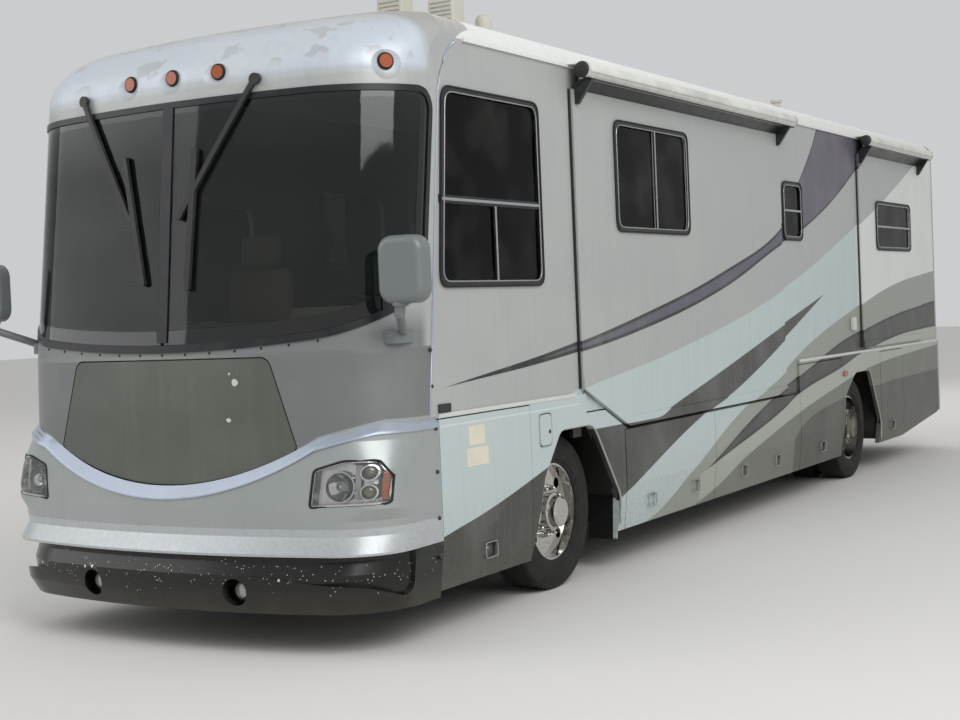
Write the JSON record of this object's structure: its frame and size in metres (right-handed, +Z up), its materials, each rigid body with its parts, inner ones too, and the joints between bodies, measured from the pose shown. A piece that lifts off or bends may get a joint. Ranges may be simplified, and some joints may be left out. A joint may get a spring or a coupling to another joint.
{
  "type": "motorhome",
  "caption": "Rear-engined motorhome with wrap-round windscreen, slide-out rooms on the driver's side, luggage bay doors and twin rear wheels.",
  "frame": {"origin": "on the ground, at the middle of the bounding box's footprint", "axes": "+X to the vehicle's left, +Y to its rear along the longest extent, +Z up"},
  "size_m": [3.12, 11.1568, 3.5249],
  "materials": {
    "shell": "gelcoat over glass fibre, faded and chipped",
    "wall": "painted glass fibre laminate, faded",
    "roof": "white laminate, chalky",
    "skirt": "metallic paint, faded",
    "bumper": "dark metallic paint, chipped",
    "chassis": "black chassis paint",
    "axle": "rough casting",
    "engine": "rough casting",
    "floor": "sealed plywood",
    "bay": "grey primer",
    "windscreen": "green tinted laminated glass",
    "glass": "dark tinted glass",
    "black_frame": "satin black",
    "black_plastic": "moulded",
    "lamp": "bright reflectors",
    "amber_lens": "moulded lens",
    "red_lens": "moulded lens",
    "roof_plastic": "moulded, weathered",
    "dash": "moulded",
    "seat": "soft grain",
    "ladder": "polished tube",
    "topper": "painted roller",
    "tyre": "black, dusty",
    "rim": "bright liner"
  },
  "bodies": {
    "coach": {"chassis_rails": "chassis", "cross_beams": "chassis", "fuel_tank": "chassis", "receiver_hitch": "chassis", "front_axle": "axle", "rear_axle": "axle", "engine": "engine", "cabin_floor": "floor", "bays": "bay", "left_wall": "wall", "right_wall": "wall", "roof": "roof", "front_cap": "shell", "front_mask": "shell", "bumper": "bumper", "rear_cap": "shell", "skirts": "skirt", "windscreen": "windscreen", "side_glass": "glass", "window_frames": "black_frame", "mirrors": "black_plastic", "wipers": "black_frame", "headlamps": "lamp", "marker_lamps": "amber_lens", "tail_lamps": "red_lens", "roof_units": "roof_plastic", "dash": "dash", "seats": "seat", "steering_wheel": "black_plastic", "ladder": "ladder"},
    "left_knuckle": {"left_knuckle": "axle"},
    "right_knuckle": {"right_knuckle": "axle"},
    "front_left_wheel": {"front_left_tyre": "tyre", "front_left_rim": "rim"},
    "front_right_wheel": {"front_right_tyre": "tyre", "front_right_rim": "rim"},
    "rear_left_wheels": {"rear_left_tyre": "tyre", "rear_left_rim": "rim"},
    "rear_right_wheels": {"rear_right_tyre": "tyre", "rear_right_rim": "rim"},
    "front_slide": {"front_slide": "wall", "front_slide_glass": "glass", "front_topper": "topper"},
    "rear_slide": {"rear_slide": "wall", "rear_slide_glass": "glass", "rear_topper": "topper"},
    "entry_door": {"entry_door": "wall", "entry_glass": "glass"},
    "hood_panel": {"hood_panel": "shell"},
    "engine_door": {"engine_door": "skirt"},
    "fuel_door": {"fuel_door": "skirt"},
    "left_door_a": {"left_door_a": "skirt"},
    "left_door_b": {"left_door_b": "skirt"},
    "left_door_c": {"left_door_c": "skirt"},
    "left_door_d": {"left_door_d": "skirt"},
    "left_door_e": {"left_door_e": "skirt"},
    "right_door_b": {"right_door_b": "skirt"},
    "right_door_c": {"right_door_c": "skirt"},
    "right_door_d": {"right_door_d": "skirt"}
  },
  "joints": [
    {"name": "left_steer", "type": "hinge", "parent": "coach", "child": "left_knuckle", "pos_m": [0.88, -3.3705, 0.465], "axis": [0, 0, 1], "range_deg": [-35, 35]},
    {"name": "right_steer", "type": "hinge", "parent": "coach", "child": "right_knuckle", "pos_m": [-0.88, -3.3705, 0.465], "axis": [0, 0, 1], "range_deg": [-35, 35]},
    {"name": "front_left_roll", "type": "hinge", "parent": "left_knuckle", "child": "front_left_wheel", "pos_m": [1.06, -3.3705, 0.465], "axis": [1, 0, 0], "continuous": true},
    {"name": "front_right_roll", "type": "hinge", "parent": "right_knuckle", "child": "front_right_wheel", "pos_m": [-1.06, -3.3705, 0.465], "axis": [1, 0, 0], "continuous": true},
    {"name": "rear_left_roll", "type": "hinge", "parent": "coach", "child": "rear_left_wheels", "pos_m": [0.94, 2.4195, 0.465], "axis": [1, 0, 0], "continuous": true},
    {"name": "rear_right_roll", "type": "hinge", "parent": "coach", "child": "rear_right_wheels", "pos_m": [-0.94, 2.4195, 0.465], "axis": [1, 0, 0], "continuous": true},
    {"name": "front_slide_travel", "type": "slide", "parent": "coach", "child": "front_slide", "axis": [1, 0, 0], "range_m": [0, 0.76]},
    {"name": "rear_slide_travel", "type": "slide", "parent": "coach", "child": "rear_slide", "axis": [1, 0, 0], "range_m": [0, 0.56]},
    {"name": "entry_door_hinge", "type": "hinge", "parent": "coach", "child": "entry_door", "pos_m": [-1.284, -4.6125, 1.6], "axis": [0, 0, 1], "range_deg": [0, 90]},
    {"name": "hood_hinge", "type": "hinge", "parent": "coach", "child": "hood_panel", "pos_m": [0, -5.4565, 1.503], "axis": [-1, 0, 0], "range_deg": [0, 75]},
    {"name": "engine_door_hinge", "type": "hinge", "parent": "coach", "child": "engine_door", "pos_m": [0, 5.5125, 1.304], "axis": [1, 0, 0], "range_deg": [0, 80]},
    {"name": "fuel_door_hinge", "type": "hinge", "parent": "coach", "child": "fuel_door", "pos_m": [1.298, -3.7475, 0.98], "axis": [0, 0, -1], "range_deg": [0, 95]},
    {"name": "left_door_a_hinge", "type": "hinge", "parent": "coach", "child": "left_door_a", "pos_m": [1.298, -4.338, 1.139], "axis": [0, -1, 0], "range_deg": [0, 85]},
    {"name": "left_door_b_hinge", "type": "hinge", "parent": "coach", "child": "left_door_b", "pos_m": [1.298, -1.8405, 0.89], "axis": [0, -1, 0], "range_deg": [0, 85]},
    {"name": "left_door_c_hinge", "type": "hinge", "parent": "coach", "child": "left_door_c", "pos_m": [1.298, -0.1405, 0.89], "axis": [0, -1, 0], "range_deg": [0, 85]},
    {"name": "left_door_d_hinge", "type": "hinge", "parent": "coach", "child": "left_door_d", "pos_m": [1.298, 1.3745, 1.124], "axis": [0, -1, 0], "range_deg": [0, 85]},
    {"name": "left_door_e_hinge", "type": "hinge", "parent": "coach", "child": "left_door_e", "pos_m": [1.298, 3.5545, 1.128], "axis": [0, -1, 0], "range_deg": [0, 85]},
    {"name": "right_door_b_hinge", "type": "hinge", "parent": "coach", "child": "right_door_b", "pos_m": [-1.298, -1.8405, 1.124], "axis": [0, 1, 0], "range_deg": [0, 85]},
    {"name": "right_door_c_hinge", "type": "hinge", "parent": "coach", "child": "right_door_c", "pos_m": [-1.298, -0.1405, 1.124], "axis": [0, 1, 0], "range_deg": [0, 85]},
    {"name": "right_door_d_hinge", "type": "hinge", "parent": "coach", "child": "right_door_d", "pos_m": [-1.298, 1.3745, 1.124], "axis": [0, 1, 0], "range_deg": [0, 85]}
  ],
  "couplings": [
    {"joint": "right_steer", "follows": "left_steer", "ratio": 1}
  ]
}
